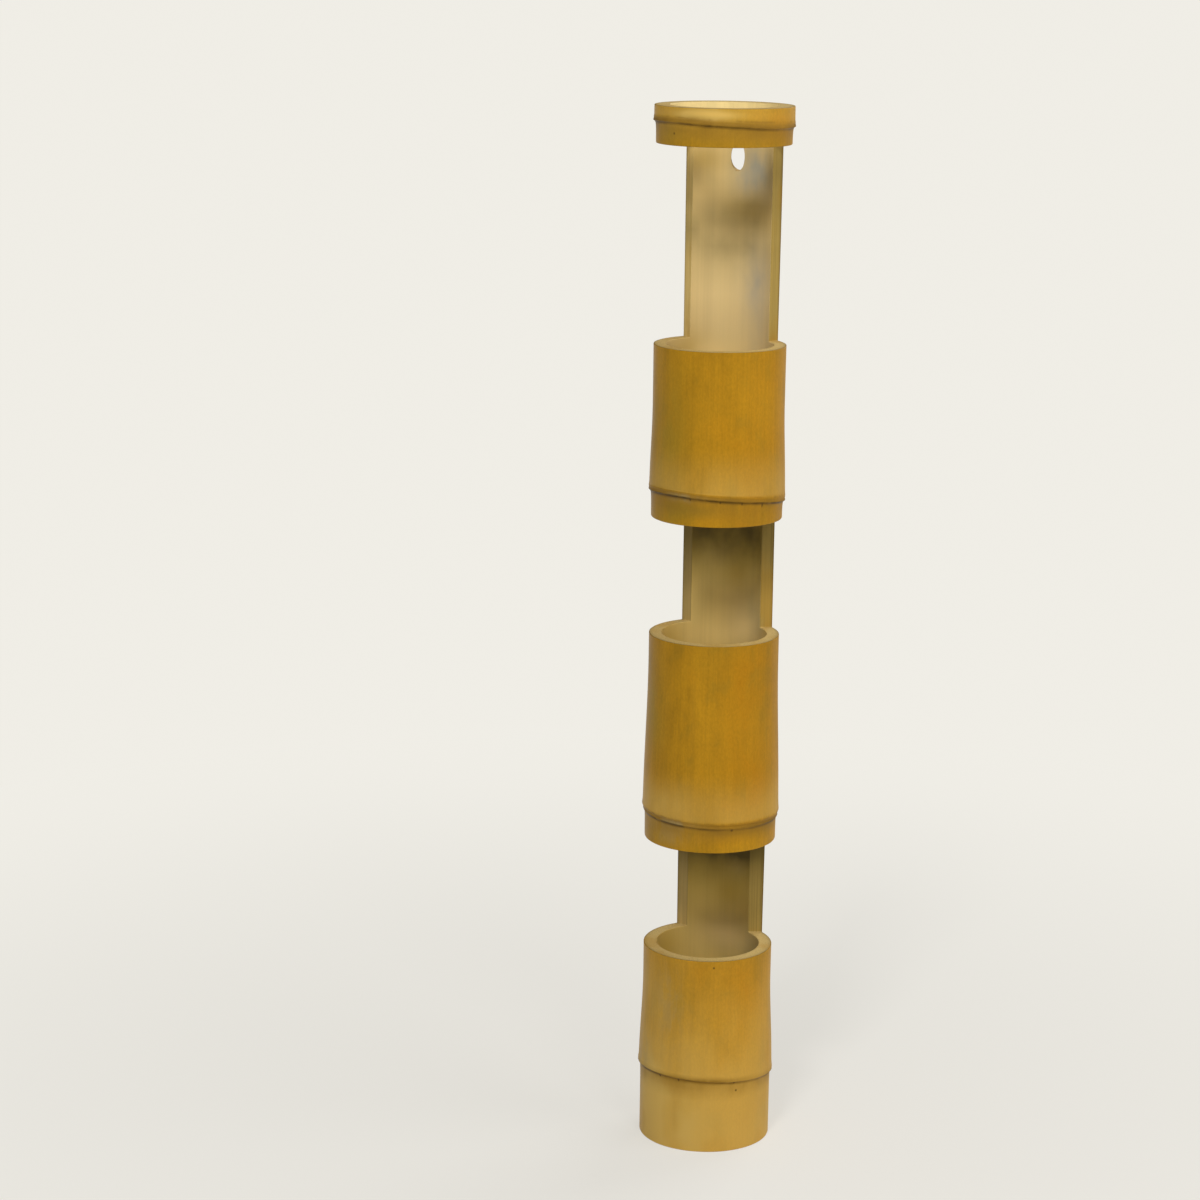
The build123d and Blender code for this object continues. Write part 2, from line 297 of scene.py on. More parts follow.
def skin_radius(height, angle):
    """Outer radius of the culm. Above a node it falls from the swelling to the plain wall, 0.83 as
    a smooth step over the flare and 0.17 as a quick exponential. Between scar lip and swelling it
    is a smooth step with a narrow groove, and two exponentials lead from the lip down to the wall."""
    radius = np.zeros_like(height)
    for index, node in enumerate(NODES):
        is_top = node is NODES[-1]
        top = TOP_Z if is_top else NODES[index + 1]["z"]
        end = node["above"] if is_top else NODES[index + 1]["below"]
        here = (height >= node["z"]) & (height <= top)
        s = height[here] - node["z"]
        wall = node["above"] + (end - node["above"]) * smooth(node["flare"], top - node["z"], s)
        t = (s - node["crest"]) / node["flare"]
        fall = 0.83 * (1.0 - smooth(0.0, 1.0, t)) + 0.17 * np.exp(-np.clip(t, 0.0, None) / 0.04)
        flared = wall + (node["swell"] - wall) * fall
        share = s / node["crest"]
        band = node["lip"] + (node["swell"] - node["lip"]) * smooth(0.35, 1.0, share)
        groove = node["groove"] * np.exp(-((share - 0.42) / 0.16) ** 2)
        radius[here] = np.where(s < node["crest"], band, flared) - groove
    bottom = 0.0
    for index, node in enumerate(NODES):
        under = (height < node["z"]) & (height >= bottom)
        bottom = node["z"]
        s = height[under] - node["z"]
        drop = 0.6 * np.exp(s / 0.0005) + 0.4 * np.exp(s / 0.0024)
        base = radius[under] if index else np.full_like(s, node["below"])
        radius[under] = base + (node["lip"] - node["below"]) * drop
    from_node = height - NODE_HEIGHTS[nearest_node(height)]
    rough = waves(angle, ((23, 3.5e-5, 0.4), (37, 3.0e-5, 1.9), (61, 2.5e-5, 4.0), (97, 2.0e-5, 2.2)))
    radius += rough * np.exp(-(from_node / 0.0007) ** 2)
    radius += waves(angle, ((2, 9.0e-5, 0.7), (3, 6.0e-5, 2.1), (7, 2.5e-5, 1.3), (13, 1.5e-5, 5.0)))
    return radius - SKIN_INSET


def bore_radius(height):
    """Radius of the bore: each chamber's own, drawn in along a quarter circle at its closed ends."""
    radius = np.full_like(height, CHAMBERS[0]["radius"])
    for chamber in CHAMBERS:
        low = chamber["floor"] or 0.0
        high = chamber["ceiling"] or TOP_Z
        here = (height >= low - NEARLY) & (height <= high + NEARLY)
        drawn = np.zeros(here.sum())
        for end, corner, inward in closed_ends(chamber):
            away = np.clip(inward * (height[here] - end), 0.0, corner)
            drawn += corner - np.sqrt(np.clip(corner ** 2 - (corner - away) ** 2, 0.0, None))
        radius[here] = chamber["radius"] - drawn
    return radius


def column_of(angle_deg):
    """Nearest column to an angle from +Y."""
    return round((angle_deg + 180.0) / 360.0 * COLUMNS)


def pull(heights, column, target, reach, low, high, fade):
    """Turn of each lattice point that sets a column at a target angle between two heights. It
    fades over reach columns on each side, and over a length past the two heights."""
    index = np.arange(COLUMNS)
    tent = np.clip(1.0 - np.abs(index - column) / reach, 0.0, None)
    inside = smooth(low - fade, low, heights) * (1.0 - smooth(high, high + fade, heights))
    start = index[column] * FULL_TURN / COLUMNS - math.pi
    return (math.radians(target) - start) * tent[None, :] * inside[:, None]


def column_angles(heights, at_bore):
    """Angle from +Y of each lattice point at the skin or at the bore, with the columns pulled to
    the strips' cut faces and to the sides of the hanging hole."""
    angle = np.tile(np.arange(COLUMNS) * FULL_TURN / COLUMNS - math.pi, (len(heights), 1))
    reach = 22 if at_bore else 7
    for window in WINDOWS:
        low, high = window["low"], window["high"]
        for skin_edge, bore_edge in zip(window["skin"], window["bore"]):
            edge = bore_edge if at_bore else skin_edge
            angle += pull(heights, column_of(skin_edge), edge, reach, low, high, WINDOW_FADE)
    radius = CHAMBERS[-1]["radius"] if at_bore else NODES[2]["above"]
    half = math.degrees(math.asin(hole_half_width(radius) / radius))
    for side, column in zip((-1, 1), hole_columns()):
        angle += pull(heights, column, side * half, 5, HOLE_Z - HOLE_HEIGHT, RING_EDGE_Z, HOLE_FADE)
    return angle


def hole_half_width(depth):
    """Half the width of the hanging hole at a depth along +Y: it grows by HOLE_SPLAY of the way
    from the bore."""
    return HOLE_WIDTH / 2 + HOLE_SPLAY * (depth - CHAMBERS[-1]["radius"])


def hole_columns():
    """The two columns that the hanging hole's sides stand on."""
    radius = NODES[2]["above"]
    half = math.degrees(math.asin(0.9 * hole_half_width(radius) / radius))
    return column_of(-half), column_of(half)


def round_hole(x, y, z):
    """Draw the square of lattice points round the hanging hole in to an oval: a point's distance
    from the centre grows by the ratio of its square norm to its round norm."""
    p = x / hole_half_width(y)
    q = (z - HOLE_Z) / (HOLE_HEIGHT / 2)
    square = np.maximum(np.abs(p), np.abs(q))
    oval = np.hypot(p, q)
    reach = 1.0 + 0.98 * (RING_EDGE_Z - HOLE_Z - HOLE_HEIGHT / 2) / (HOLE_HEIGHT / 2)
    weight = (1.0 - smooth(1.0, 2.4, np.abs(p))) * (1.0 - smooth(1.0, reach, np.abs(q)))
    factor = 1.0 + weight * (square / np.maximum(oval, 1e-9) - 1.0)
    return x * factor, HOLE_Z + (z - HOLE_Z) * factor


def culm_lattice():
    """Points through the culm's wall: layer 0 lies on the skin, the last on the bore, the others at
    equal shares between. At the skin the rows near a node lean with it: height = row + lean *
    (slope . place). Returns points[layer, row, column], rows and heights above the nearest node."""
    rows = row_heights()
    skin_angle = column_angles(rows, False)
    bore_angle = column_angles(rows, True)
    height = np.repeat(rows[:, None], COLUMNS, axis=1)
    nearest = nearest_node(rows)
    from_node = rows - NODE_HEIGHTS[nearest]
    slope = np.array([node["slope"] for node in NODES])[nearest]
    lean = (1.0 - smooth(0.0015, NODE_LEAN_UP, from_node)) * smooth(-NODE_LEAN_DOWN, -0.0005, from_node)
    skin = skin_radius(height, skin_angle)
    skin_x, skin_y = skin * np.sin(skin_angle), skin * np.cos(skin_angle)
    wander = waves(skin_angle + nearest[:, None] * 2.3,
                   ((2, 2.2e-4, 0.3), (3, 1.6e-4, 1.7), (5, 9e-5, 4.4)))
    skin_z = height + lean[:, None] * (slope[:, :1] * skin_x + slope[:, 1:] * skin_y + wander)
    bore = bore_radius(rows)[:, None]
    bore_x, bore_y = bore * np.sin(bore_angle), bore * np.cos(bore_angle)
    share = np.linspace(0.0, 1.0, LAYERS + 1)[:, None, None]
    x = skin_x + (bore_x - skin_x) * share
    y = skin_y + (bore_y - skin_y) * share
    z = skin_z + (height - skin_z) * share
    near_hole = (y > 0) & (np.abs(x) < HOLE_WIDTH * 2) & (z < RING_EDGE_Z) & (z > HOLE_Z - HOLE_HEIGHT)
    reach = np.hypot(x[near_hole], y[near_hole])
    x[near_hole], z[near_hole] = round_hole(x[near_hole], y[near_hole], z[near_hole])
    y[near_hole] = np.sqrt(reach ** 2 - x[near_hole] ** 2)
    return np.stack([x, y, z], axis=-1), rows, from_node


def culm_cells(middle):
    """Which cells of the lattice, whose rows have these middle heights, are bamboo: all round at
    the cups and the ring, only the back strip in a window, and none in the hanging hole."""
    column = np.arange(COLUMNS)
    cells = np.ones((len(middle), COLUMNS), dtype=bool)
    for window in WINDOWS:
        low, high = (column_of(edge) for edge in window["skin"])
        opened = (middle > window["low"]) & (middle < window["high"])
        cells[np.ix_(opened, (column < low) | (column >= high))] = False
    low, high = hole_columns()
    holed = np.abs(middle - HOLE_Z) < HOLE_HEIGHT / 2
    cells[np.ix_(holed, (column >= low) & (column < high))] = False
    return cells


def closed_cells(middle):
    """Rows of cells that lie in a node wall, where the bore is shut."""
    return sum((middle > below["ceiling"]) & (middle < above["floor"])
               for below, above in zip(CHAMBERS[:-1], CHAMBERS[1:])).astype(bool)


def node_wall(ring, level, rise):
    """Rings from the bore's edge in to a floor's or ceiling's centre, which comes last. A ring at
    share s of the way in is the edge scaled by 1 - s, raised by rise * (1 - (1 - s) ** 2)."""
    left = 1.0 - np.linspace(0.0, 1.0, FLOOR_RINGS + 1)[:-1]
    rings = np.empty((FLOOR_RINGS, COLUMNS, 3))
    rings[..., :2] = ring[None, :, :2] * left[:, None, None]
    rings[..., 2] = (level + rise * (1.0 - left ** 2))[:, None]
    return np.append(rings.reshape(-1, 3), [[0.0, 0.0, level + rise]], axis=0)


def culm_faces(cells, shut):
    """Corner numbers and surface of each face of the culm in the lattice. Skin and bore faces lie
    on filled cells, and a cut face wherever a filled cell meets an empty one."""
    rows = len(cells) + 1
    number = np.arange((LAYERS + 1) * rows * COLUMNS).reshape(LAYERS + 1, rows, COLUMNS)
    right = np.roll(number, -1, axis=2)
    facing_out = np.stack([number[:, :-1], number[:, 1:], right[:, 1:], right[:, :-1]], axis=-1)
    facing_up = np.stack([number[:-1], number[1:], right[1:], right[:-1]], axis=-1)
    facing_side = np.stack([number[:-1, :-1], number[1:, :-1], number[1:, 1:], number[:-1, 1:]], axis=-1)
    flipped = [0, 3, 2, 1]
    blank = np.zeros((1, COLUMNS), dtype=bool)
    above, below = np.vstack([cells, blank]), np.vstack([blank, cells])
    beside = np.roll(cells, 1, axis=1)
    faces = [facing_out[0][cells], facing_out[-1][cells & ~shut[:, None]][:, flipped]]
    for level, side in zip(facing_up, facing_side):
        faces += [level[below & ~above], level[above & ~below][:, flipped],
                  side[cells & ~beside], side[beside & ~cells][:, flipped]]
    kinds = [np.full(len(part), kind) for part, kind in zip(faces, [SKIN, BORE] + [CUT] * 4 * LAYERS)]
    return np.concatenate(faces), np.concatenate(kinds)


def fan(ring, tip):
    """Triangles from each side of a ring of point numbers to one tip."""
    return np.stack([ring, np.full(len(ring), tip), np.roll(ring, -1)], axis=-1)


def new_mesh(name, points, *faces):
    """Mesh from an array of points and arrays of their numbers round each quad or triangle."""
    mesh = bpy.data.meshes.new(name)
    mesh.from_pydata(points.tolist(), [], sum((part.tolist() for part in faces), []))
    return mesh


def culm_mesh():
    """The whole culm as one closed mesh, with its surface on each face and fields on its points:
    share of the way through the wall, height above the nearest node, and the patches, each
    strength * exp(-(turn / spread) ** 2 - (rise / spread) ** 2)."""
    points, rows, from_node = culm_lattice()
    middle = (rows[:-1] + rows[1:]) / 2
    quads, kinds = culm_faces(culm_cells(middle), closed_cells(middle))
    flat = points.reshape(-1, 3)
    lattice = np.arange(len(flat)).reshape(points.shape[:3])
    all_points, all_quads, triangles = [flat], [quads], []
    start = len(flat)
    for chamber in CHAMBERS:
        for end, _, inward in closed_ends(chamber):
            row = np.abs(rows - end).argmin()
            rings = node_wall(points[-1, row], end, 0.0 if inward > 0 else CEILING_RISE)
            numbers = start + np.arange(FLOOR_RINGS * COLUMNS).reshape(FLOOR_RINGS, COLUMNS)
            numbers[0] = lattice[-1, row]
            beside = np.roll(numbers, -1, axis=1)
            disc = np.stack([numbers[:-1], numbers[1:], beside[1:], beside[:-1]], axis=-1).reshape(-1, 4)
            start += len(rings)
            all_points.append(rings)
            all_quads.append(disc[:, ::inward])
            triangles.append(fan(numbers[-1], start - 1)[:, ::inward])
    flat, quads, triangles = (np.concatenate(parts) for parts in (all_points, all_quads, triangles))
    spare = len(flat) - lattice.size
    depth = np.append(np.repeat(np.linspace(0, 1, LAYERS + 1), lattice[0].size), np.ones(spare))
    near = np.append(np.tile(np.repeat(from_node, COLUMNS), LAYERS + 1), np.zeros(spare))
    kinds = np.append(kinds, np.full(len(quads) + len(triangles) - len(kinds), FLOOR))
    used = np.unique(np.concatenate([quads.ravel(), triangles.ravel()]))
    place = np.zeros(len(flat), dtype=int)
    place[used] = np.arange(len(used))
    mesh = new_mesh("culm", flat[used], place[quads], place[triangles])
    mesh.polygons.foreach_set("material_index", kinds.astype(np.int32))
    angle = np.degrees(np.arctan2(flat[:, 0], flat[:, 1]))
    zone = 1.0 - smooth(0.034, 0.045, np.abs(near))
    fields = {"wall_depth": depth, "from_node": near, "node_zone": zone}
    for kind, entries in PATCHES.items():
        fields[kind] = np.zeros(len(flat))
        for side, z, wide, tall, size in entries:
            turn = (angle - side + 180.0) % 360.0 - 180.0
            fields[kind] += size * np.exp(-(turn / wide) ** 2 - ((flat[:, 2] / MM - z) / tall) ** 2)
    for name, values in fields.items():
        attribute = mesh.attributes.new(name, "FLOAT", "POINT")
        attribute.data.foreach_set("value", values[used].astype(np.float32))
    return mesh


def liner_angles():
    """Angles of the columns round a liner."""
    return np.arange(LINER_COLUMNS) * FULL_TURN / LINER_COLUMNS


def turned(profile, bump):
    """Points and quads of a closed profile turned about the vase's axis. Each point's radius grows
    by bump, an array round the axis."""
    angle = liner_angles()
    radius = profile[:, :1] + bump[None, :]
    points = np.stack([radius * np.sin(angle), radius * np.cos(angle),
                       np.repeat(profile[:, 1:], LINER_COLUMNS, axis=1)], axis=-1)
    number = np.arange(points.shape[0] * LINER_COLUMNS).reshape(-1, LINER_COLUMNS)
    across = np.roll(number, -1, axis=0)
    quads = np.stack([number, across, np.roll(across, -1, axis=1), np.roll(number, -1, axis=1)], axis=-1)
    return points.reshape(-1, 3), quads.reshape(-1, 4)


def rounded(corners, radius):
    """A closed polygon with each corner turned into an arc of four points: the corner's two
    tangent points and the quadratic curve that has the corner as its middle control point."""
    corners = np.asarray(corners, dtype=float)
    back, ahead = np.roll(corners, 1, axis=0) - corners, np.roll(corners, -1, axis=0) - corners
    back_length, ahead_length = (np.linalg.norm(side, axis=1, keepdims=True) for side in (back, ahead))
    reach = np.minimum(radius, 0.45 * np.minimum(back_length, ahead_length))
    start, end = corners + back / back_length * reach, corners + ahead / ahead_length * reach
    t = np.linspace(0.0, 1.0, 4)[None, :, None]
    arc = (1 - t) ** 2 * start[:, None] + 2 * t * (1 - t) * corners[:, None] + t ** 2 * end[:, None]
    return arc.reshape(-1, 2)


def liner_wall_mesh(name, liner):
    """Rolled sheet with a hem folded outwards round its top and a lapped seam at the back: a
    section, its long sides cut into twelve, is turned about the axis, and a smooth step lifts the
    lap."""
    chamber = liner["chamber"]
    outer = chamber["radius"] - LINER_GAP
    inner = outer - SHEET
    low, high = chamber["floor"] + SHEET, chamber["floor"] + liner["height"]
    section = [(outer, low), (outer, high - HEM_HEIGHT), (outer + HEM_WIDTH, high - HEM_HEIGHT),
               (outer + HEM_WIDTH, high), (inner, high), (inner, low)]
    profile = rounded(section, 0.0004)
    steps = np.linspace(0, 1, 12, endpoint=False)[:, None]
    dense = [point + (after - point) * steps if np.linalg.norm(after - point) > 0.01 else point[None]
             for point, after in zip(profile, np.roll(profile, -1, axis=0))]
    angle = liner_angles()
    lap = smooth(0.02, 0.06, angle) * (1.0 - smooth(0.2, 0.24, angle))
    dents = waves(angle, ((2, 6e-5, 0.3), (3, 4e-5, 1.1), (9, 1.5e-5, 2.0)))
    return new_mesh(name, *turned(np.concatenate(dense), SEAM * (lap - 1.0) + dents))


def liner_base_mesh(name, liner):
    """Round base, a shallow dish with a solder fillet round it: its section is turned about the
    axis and closed by two centres."""
    chamber = liner["chamber"]
    outer = chamber["radius"] - LINER_GAP + BASE_FLANGE
    inner = chamber["radius"] - LINER_GAP - SHEET
    low = chamber["floor"]
    top = low + SHEET
    rim = rounded([(outer, low), (outer, top), (inner + 0.0002, top), (inner + 0.0001, top + 0.0008),
                   (inner - 0.0014, top + 0.0001), (inner - 0.003, top)], 0.0003)[2:]
    reach = np.linspace(rim[-1, 0], 0.0, 17)[1:-1]
    dish = np.stack([reach, top - 0.00025 * (1.0 - np.cos(np.pi * (1.0 - reach / inner)))], axis=-1)
    under = np.stack([reach[::-1], np.full(len(reach), low)], axis=-1)
    section = np.concatenate([under, rim, dish])
    points, quads = turned(section, waves(liner_angles(), ((7, 2e-5, 0.5), (19, 2e-5, 1.0))))
    ring, count = np.arange(LINER_COLUMNS), len(points)
    tips = fan(ring, count)[:, ::-1], fan(ring + count - LINER_COLUMNS, count + 1)
    points = np.append(points, [[0.0, 0.0, low], [0.0, 0.0, dish[-1, 1]]], axis=0)
    return new_mesh(name, points, quads[:-LINER_COLUMNS], *tips)


class Nodes:
    """A node tree. Every input may be a number, a colour or another node's socket."""

    def __init__(self, tree):
        self.tree = tree

    def add(self, kind, inputs, **settings):
        node = self.tree.nodes.new("ShaderNode" + kind)
        for key, value in settings.items():
            setattr(node, key, value)
        for key, value in inputs.items():
            self.put(node.inputs[key], value)
        return node

    def put(self, socket, value):
        if isinstance(value, bpy.types.NodeSocket):
            self.tree.links.new(value, socket)
        else:
            socket.default_value = value


class Shader(Nodes):
    """One material's nodes, with the colour that has been laid so far."""

    def __init__(self, name):
        self.material = bpy.data.materials.new(name)
        self.material.use_nodes = True
        super().__init__(self.material.node_tree)
        self.surface = self.tree.nodes["Principled BSDF"]
        self.place = self.add("TexCoord", {}).outputs["Object"]
        self.colour = None

    def math(self, operation, *values):
        """The values joined one after another by one operation, such as a sum."""
        result = values[0]
        for value in values[1:]:
            node = self.add("Math", {0: result, 1: value}, operation=operation)
            result = node.outputs[0]
        return result

    def plus(self, *values):
        return self.math("ADD", *values)

    def times(self, *values):
        return self.math("MULTIPLY", *values)

    def split(self, vector):
        return self.add("SeparateXYZ", {0: vector}).outputs

    def height(self):
        """Height above the foot as a share of the vase's height."""
        return self.times(self.split(self.place)[2], 1.0 / TOP_Z)

    def stretched(self, across, along, shift=(0.0, 0.0, 0.0)):
        """Place in the object, scaled across the culm and along it."""
        scale = (across, across, along)
        node = self.add("Mapping", {"Vector": self.place, "Scale": scale, "Location": shift})
        return node.outputs[0]

    def distance(self, across, along, centre=(0.0, 0.0, 0.0)):
        """Distance of the scaled place from a point."""
        inputs = {0: self.stretched(across, along), 1: centre}
        return self.add("VectorMath", inputs, operation="DISTANCE").outputs["Value"]

    def noise(self, across, along, detail=2, rough=0.5, shift=(0.0, 0.0, 0.0)):
        inputs = {"Vector": self.stretched(across, along, shift), "Scale": 1.0, "Detail": detail,
                  "Roughness": rough}
        return self.add("TexNoise", inputs).outputs[0]

    def rise(self, value, low, high, start=0.0, end=1.0):
        """Smooth step from start at low to end at high."""
        inputs = {"Value": value, "From Min": low, "From Max": high, "To Min": start, "To Max": end}
        return self.add("MapRange", inputs, interpolation_type="SMOOTHSTEP").outputs[0]

    def band(self, value, low, high, soft):
        """1 between low and high, fading to 0 over a soft edge on each side."""
        return self.times(self.rise(value, low - soft, low + soft),
                          self.rise(value, high - soft, high + soft, 1.0, 0.0))

    def ramp(self, value, *stops):
        """Colour ramp whose stops are a position and a colour or a grey level."""
        node = self.add("ValToRGB", {"Fac": value})
        elements = node.color_ramp.elements
        for index, (at, colour) in enumerate(stops):
            element = elements[index] if index < 2 else elements.new(at)
            element.position = at
            element.color = rgba(colour)
        return node.outputs[0]

    def mix(self, share, a, b, blend="MIX"):
        inputs = {0: share, 6: rgba(a), 7: rgba(b)}
        return self.add("Mix", inputs, data_type="RGBA", blend_type=blend).outputs[2]

    def shades(self, value, colour, *stops):
        """Start from one colour, made lighter or darker along a value."""
        self.colour = self.ramp(value, *((at, scaled(colour, factor)) for at, factor in stops))

    def lay(self, share, colour, shade=1.0):
        """Lay a colour over what is there, by a share, made lighter or darker by a factor."""
        self.colour = self.mix(share, self.colour, scaled(colour, shade))

    def tint(self, by, share=1.0):
        """Multiply what is there by a colour or a socket."""
        self.colour = self.mix(share, self.colour, by, "MULTIPLY")

    def field(self, name):
        return self.add("Attribute", {}, attribute_name=name).outputs["Fac"]

    def bump(self, height, strength, distance):
        node = self.add("Bump", {"Height": height, "Strength": strength, "Distance": distance})
        self.put(self.surface.inputs["Normal"], node.outputs[0])

    def finish(self, roughness, **constants):
        self.put(self.surface.inputs["Base Color"], self.colour)
        self.put(self.surface.inputs["Roughness"], roughness)
        for name, value in constants.items():
            self.put(self.surface.inputs[name.replace("_", " ")], value)
        return self.material


def rgba(value):
    """A socket as it is, or four channels from a grey level or a colour."""
    if isinstance(value, bpy.types.NodeSocket):
        return value
    channels = (value,) * 3 if isinstance(value, float) else value
    return (*channels, 1.0)


def scaled(colour, factor):
    """A colour made lighter or darker by one factor."""
    return tuple(min(1.0, channel * factor) for channel in colour)


def skin_material(look):
    """Seasoned bamboo skin: fine upright fibres, streaks and clouds between a darker and a lighter
    gold, with painted light at the foot, at the top and just above each node. A node's ochre band,
    painted shade below it and along its crest, and dark scar line go by the height over it in
    millimetres, and the tables place the patches, some of them painted light, shade and highlight,
    and the dots and short cracks."""
    m = Shader("bamboo_skin")
    ochre = look.band
    height, zone = m.height(), m.field("node_zone")
    near = m.times(m.field("from_node"), 1.0 / MM)
    fibre = m.noise(640, 7, 3, 0.6)
    streak = m.noise(92, 2.4, 3)
    cloud = m.noise(24, 13, 3)
    mottle = m.noise(75, 42, 3, 0.6, (1.3, 2.4, 0.6))
    patch = m.noise(10, 5, 2, 0.5, (3.1, 0.4, 1.7))
    freckle = m.noise(950, 520, 3, 0.65, (0.2, 0.9, 1.1))
    smudge = m.noise(46, 30, 3, 0.6, (0.7, 2.2, 0.1))
    breaks = m.noise(150, 60, 3, 0.6)
    uneven = m.rise(mottle, 0.36, 0.62, 0.55, 1.2)
    tone = m.plus(m.times(fibre, 0.22), m.times(streak, 0.14), m.times(cloud, 0.34), m.times(mottle, 0.3))
    m.shades(tone, look.skin, (0.38, 0.76), (0.5, 1.0), (0.62, 1.22))
    # Orange patches with painted light on the skin's right side
    m.lay(m.plus(m.rise(patch, 0.52, 0.68, 0.0, 0.4), m.times(m.field("warm_and_lit"), uneven),
                 m.rise(mottle, 0.56, 0.68, 0.0, 0.22)), look.warm_and_lit)
    # Greener patches and painted shade on the skin's left side
    m.lay(m.plus(m.rise(patch, 0.46, 0.32, 0.0, 0.35), m.times(m.field("olive_and_shade"), uneven),
                 m.rise(mottle, 0.44, 0.34, 0.0, 0.22)), look.olive_and_shade)
    # Tint by height, darker towards the middle of the culm; the lighter foot and very top are painted
    # light
    m.tint(m.ramp(height, (0.0, 1.0), (0.15, 0.92), (0.2, 0.86), (0.52, 0.8), (0.62, 0.82),
                  (0.8, 0.84), (0.98, 0.86), (0.99, 1.04)))
    m.tint(m.ramp(freckle, (0.36, 0.93), (0.5, 1.0), (0.64, 1.07)))
    # Painted light: paler skin at the foot, at the ring's top and just above each node, with the listed
    # patches of painted light and highlight
    ends = m.ramp(height, (0.0, 0.62), (0.06, 0.5), (0.17, 0.12), (0.3, 0.0), (0.965, 0.0), (0.99, 0.3))
    flare = m.times(m.rise(near, 2.0, 5.0), m.rise(near, 6.0, 34.0, 0.34, 0.0), zone)
    painted_light_skin = m.plus(m.math("MAXIMUM", ends, flare), m.field("painted_light_skin"))
    m.lay(m.times(painted_light_skin, m.rise(cloud, 0.36, 0.6, 0.6, 1.15)), look.painted_light_skin)
    # Painted highlight on the ring's collar
    m.lay(m.field("painted_highlight"), look.painted_light_skin, 1.2)
    banded = m.ramp(height, (0.12, 0.3), (0.2, 1.0))
    band = m.times(m.rise(near, -0.1, 0.2), m.rise(near, 3.8, 0.5),
                   m.rise(smudge, 0.3, 0.62, 0.6, 1.0), banded, zone)
    m.lay(band, ochre)
    m.lay(m.times(m.field("bloom"), m.rise(breaks, 0.38, 0.6, 0.25, 1.1)), look.bloom)
    # Painted shade below each node's scar lip, fading down the wall over 11 mm
    m.lay(m.times(m.rise(near, -11.0, -0.4), m.rise(near, -0.3, 0.1, 1.0, 0.0),
                  m.rise(smudge, 0.36, 0.64, 0.25, 0.75), zone), ochre)
    # A thin line of painted shade along each node's crest
    m.lay(m.times(m.band(near, 2.6, 3.5, 0.6), m.rise(breaks, 0.42, 0.66, 0.0, 0.4), banded, zone),
          ochre, 0.7)
    # Painted shade just under the scar lip
    m.lay(m.times(m.band(near, -1.7, -0.2, 0.5), m.rise(smudge, 0.36, 0.6, 0.3, 0.75), zone),
          ochre, 0.75)
    scar = m.times(m.band(near, -1.05, 0.25, 0.4), m.rise(breaks, 0.34, 0.58, 0.35, 0.88),
                   m.rise(m.field("worn"), 0.0, 1.0, 1.0, 0.0), m.rise(height, 0.9, 0.97, 1.0, 0.7), zone)
    m.lay(scar, look.scar)
    # Painted shade round the node ridges, and two thin dark streaks
    m.lay(m.times(m.field("dark"), uneven), ochre)
    for side, z, radius, size, tall in SPOTS:
        angle = math.radians(side)
        spot = (radius * MM * math.sin(angle), radius * MM * math.cos(angle), z * MM / tall)
        away = m.distance(1.0, 1.0 / tall, spot)
        m.lay(m.rise(away, size * MM * 0.5, size * MM * 1.3, 0.8, 0.0), look.scar)
    m.bump(m.plus(fibre, m.times(scar, -0.8)), 0.35, 0.00012)
    roughness = m.plus(m.rise(streak, 0.35, 0.65, 0.4, 0.5), m.times(band, 0.12))
    return m.finish(roughness, Specular_IOR_Level=0.1)


def sawn_material(look):
    """Sawn bamboo: one pattern stretched along the fibres shows as dots on level faces and as lines
    on upright ones, closer towards the dark skin. Upright cuts have a tint by the side that they
    face, painted light on those to the left and painted shade on those to the right, and those to
    the left more painted light by their height. Painted shadow darkens them under each section."""
    m = Shader("bamboo_sawn_face")
    pale, ochre = look.sawn, look.band
    depth = m.field("wall_depth")
    grain = m.noise(900, 10, 2, 0.6)
    cell = m.add("TexVoronoi", {"Vector": m.stretched(1150, 9), "Scale": 1.0}).outputs[0]
    m.colour = m.ramp(depth, (0.0, scaled(ochre, 0.55)), (0.035, ochre), (0.1, scaled(pale, 0.74)),
                      (0.3, pale), (0.86, scaled(pale, 1.04)), (1.0, scaled(pale, 0.94)))
    facing = m.split(m.add("NewGeometry", {}).outputs["Normal"])
    upright = m.rise(m.math("MAXIMUM", facing[2], m.times(facing[2], -1.0)), 0.75, 0.25)
    lit = m.times(upright, m.rise(facing[0], 0.0, -0.3))
    bundle = m.times(m.rise(cell, 0.42, 0.22), m.rise(depth, 0.95, 0.0, 0.1, 0.75),
                     m.rise(lit, 0.0, 1.0, 1.0, 0.35))
    m.lay(bundle, pale, 0.52)
    m.lay(m.rise(grain, 0.42, 0.66, 0.0, 0.35), pale, 0.72)
    # Painted light and shade by facing: the cuts that face left are tinted as lit and those that face
    # right as shaded
    m.tint(m.mix(m.rise(facing[0], -0.4, 0.4), look.left, look.right), upright)
    # More painted light on the cuts that face left, by height
    m.tint(m.ramp(m.height(), (0.3, 1.2), (0.5, 1.05), (0.6, 1.0), (0.8, 1.52)), lit)
    m.lay(m.rise(m.noise(60, 22, 3), 0.52, 0.7, 0.0, 0.35), look.skin, 0.9)
    # Painted shadow under each section, laid on the cut faces as well
    m.lay(m.times(m.field("stain_and_shadow"), 0.85), look.stain_and_shadow)
    m.bump(m.plus(grain, bundle), 0.3, 0.0001)
    return m.finish(m.rise(grain, 0.3, 0.7, 0.6, 0.72), Specular_IOR_Level=0.12)


